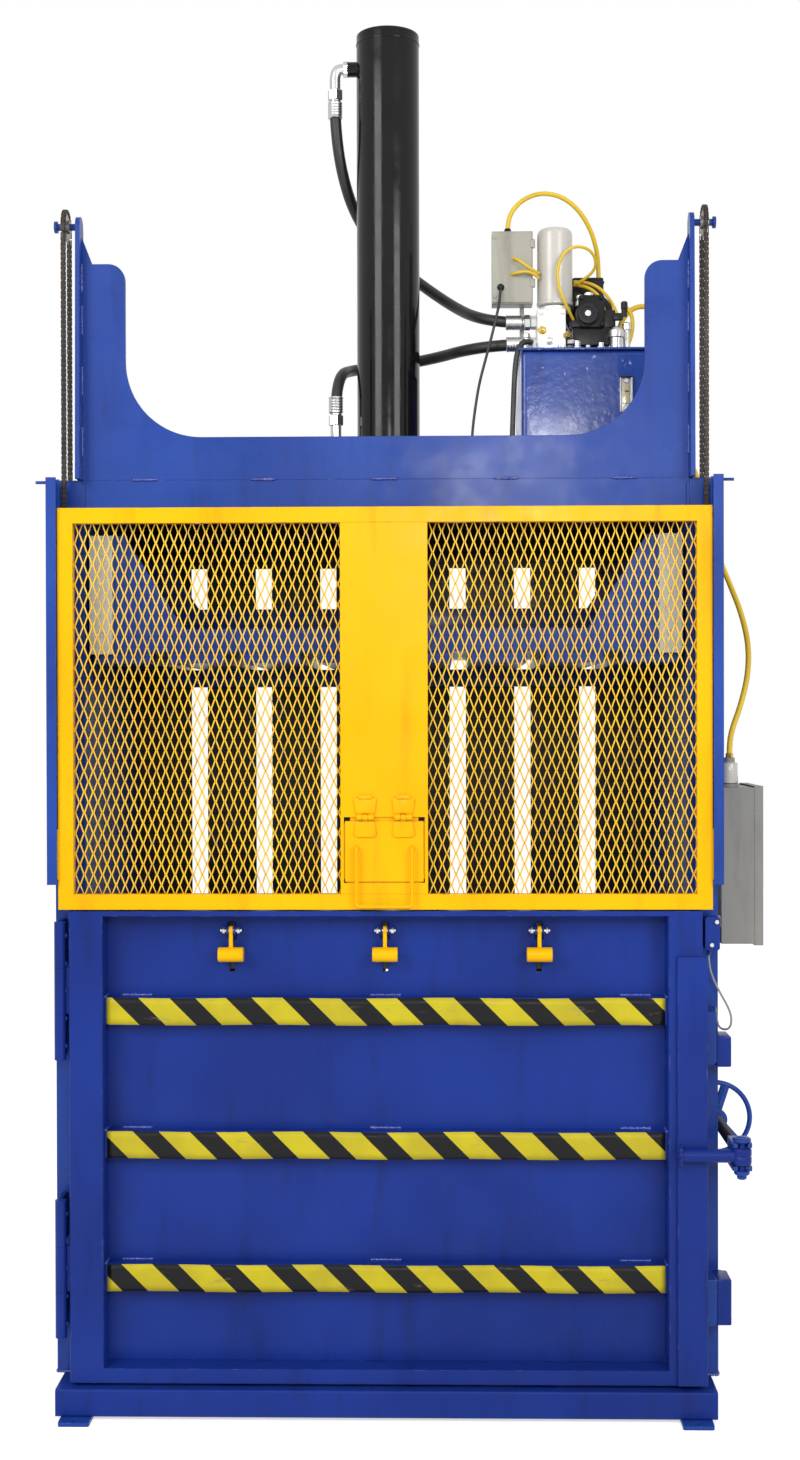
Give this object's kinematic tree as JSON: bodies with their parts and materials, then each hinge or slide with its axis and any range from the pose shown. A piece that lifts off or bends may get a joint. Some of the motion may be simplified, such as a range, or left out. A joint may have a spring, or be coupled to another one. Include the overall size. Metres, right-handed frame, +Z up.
{
  "type": "recycling baler",
  "caption": "Vertical recycling baler: blue welded frame, lift gate of yellow mesh, swinging bale door with hazard stripes, top press cylinder and power unit.",
  "frame": {"origin": "on the floor, in the middle of the four anchor holes of the feet", "axes": "+Z up, front faces -Y, +X to the right of a person at the front"},
  "size_m": [1.911, 1.17, 3.743],
  "materials": {
    "blue": "gloss paint on welded steel",
    "yellow": "gloss paint",
    "steel": "bare",
    "chain": "oiled, slightly rusty",
    "zinc": "zinc plated",
    "black_gloss": "gloss black paint",
    "chrome": "polished",
    "pad": "worn plastic wear pad",
    "white": "white paint",
    "motor_black": "satin black",
    "grey": "grey powder coat",
    "green": "moulded",
    "red": "moulded",
    "hose": "rubber cover",
    "cable_yellow": "plastic sheath",
    "cable_grey": "plastic sheath"
  },
  "bodies": {
    "frame": {"base_frame": "blue", "anchor_feet": "blue", "floor_plate": "blue", "side_walls": "blue", "columns": "blue", "back_wall": "blue", "gate_rails": "blue", "top_deck": "blue", "yoke_plate": "blue", "chain_uprights": "blue", "chain_front_left": "chain", "chain_front_right": "chain", "chain_rear_left": "chain", "chain_rear_right": "chain", "chain_wraps": "chain", "cylinder_tube": "black_gloss", "oil_tank": "blue", "manifold": "zinc", "oil_filter": "white", "motor": "motor_black", "junction_box": "grey", "hose_fittings": "zinc", "control_box": "grey", "door_switch": "blue", "frame_hinges": "blue", "latch_bracket": "blue", "pressure_hose": "hose", "return_hose": "hose", "junction_cable": "cable_yellow", "control_cable": "cable_yellow", "switch_cable": "cable_grey", "sensor_cable": "hose"},
    "gate": {"gate_frame": "yellow", "gate_mesh": "yellow", "gate_panel": "yellow", "flap_pins": "steel"},
    "flap": {"gate_flap": "yellow", "gate_grip": "yellow"},
    "door": {"door_frame": "blue", "door_skin": "blue", "door_ribs": "blue", "door_hinge_leaves": "blue", "dog_pins": "zinc", "latch_bar": "blue"},
    "dog_1": {"retainer_dog_1": "yellow"},
    "dog_2": {"retainer_dog_2": "yellow"},
    "dog_3": {"retainer_dog_3": "yellow"},
    "sprocket_left": {"sprocket_left": "steel"},
    "sprocket_right": {"sprocket_right": "steel"},
    "weight_left": {"counterweight_left": "steel"},
    "weight_right": {"counterweight_right": "steel"},
    "press": {"cylinder_rod": "chrome", "platen": "blue", "platen_pads": "pad"},
    "screw": {"latch_screw": "blue"},
    "wheel": {"handwheel": "blue"},
    "lid": {"control_lid": "grey"},
    "start": {"start_button": "green"},
    "stop": {"stop_button": "red"}
  },
  "joints": [
    {"name": "gate_lift", "type": "slide", "parent": "frame", "child": "gate", "axis": [0, 0, 1], "range_m": [0, 0.86], "deforming": ["chain_front_left", "chain_front_right"]},
    {"name": "flap_hinge", "type": "hinge", "parent": "gate", "child": "flap", "pos_m": [0, -0.528, 1.551], "axis": [-1, 0, 0], "range_deg": [0, 80]},
    {"name": "door_swing", "type": "hinge", "parent": "frame", "child": "door", "pos_m": [-0.842, -0.5, 0.6], "axis": [0, 0, -1], "range_deg": [0, 120]},
    {"name": "platen_stroke", "type": "slide", "parent": "frame", "child": "press", "axis": [0, 0, -1], "range_m": [0, 1.15]},
    {"name": "wheel_spin", "type": "hinge", "parent": "frame", "child": "wheel", "pos_m": [0.91, -0.092, 0.688], "axis": [0, -1, 0], "range_deg": [0, 1800]},
    {"name": "screw_travel", "type": "slide", "parent": "frame", "child": "screw", "axis": [0, -1, 0], "range_m": [0, 0.0305]},
    {"name": "lid_hinge", "type": "hinge", "parent": "frame", "child": "lid", "pos_m": [0.9835, -0.115, 1.4], "axis": [0, 0, 1], "range_deg": [0, 110]},
    {"name": "start_press", "type": "slide", "parent": "lid", "child": "start", "axis": [-1, 0, 0], "range_m": [0, 0.006], "stiffness_N_per_m": 400},
    {"name": "stop_press", "type": "slide", "parent": "lid", "child": "stop", "axis": [-1, 0, 0], "range_m": [0, 0.006], "stiffness_N_per_m": 400},
    {"name": "dog_1_tilt", "type": "hinge", "parent": "door", "child": "dog_1", "pos_m": [-0.4, -0.477, 1.255], "axis": [-1, 0, 0], "range_deg": [0, 55]},
    {"name": "dog_2_tilt", "type": "hinge", "parent": "door", "child": "dog_2", "pos_m": [0, -0.477, 1.255], "axis": [-1, 0, 0], "range_deg": [0, 55]},
    {"name": "dog_3_tilt", "type": "hinge", "parent": "door", "child": "dog_3", "pos_m": [0.4, -0.477, 1.255], "axis": [-1, 0, 0], "range_deg": [0, 55]},
    {"name": "sprocket_left_spin", "type": "hinge", "parent": "frame", "child": "sprocket_left", "pos_m": [-0.836, -0.415, 3.098], "axis": [-1, 0, 0], "range_deg": [0, 1236.86]},
    {"name": "weight_left_drop", "type": "slide", "parent": "frame", "child": "weight_left", "axis": [0, 0, -1], "range_m": [0, 0.865], "deforming": ["chain_rear_left"]},
    {"name": "sprocket_right_spin", "type": "hinge", "parent": "frame", "child": "sprocket_right", "pos_m": [0.836, -0.415, 3.098], "axis": [-1, 0, 0], "range_deg": [0, 1236.86]},
    {"name": "weight_right_drop", "type": "slide", "parent": "frame", "child": "weight_right", "axis": [0, 0, -1], "range_m": [0, 0.865], "deforming": ["chain_rear_right"]}
  ],
  "couplings": [
    {"joint": "screw_travel", "follows": "wheel_spin", "m_per_rad": 0.00095493},
    {"joint": "sprocket_left_spin", "follows": "gate_lift", "rad_per_m": 25},
    {"joint": "weight_left_drop", "follows": "gate_lift", "ratio": 1},
    {"joint": "sprocket_right_spin", "follows": "gate_lift", "rad_per_m": 25},
    {"joint": "weight_right_drop", "follows": "gate_lift", "ratio": 1}
  ]
}
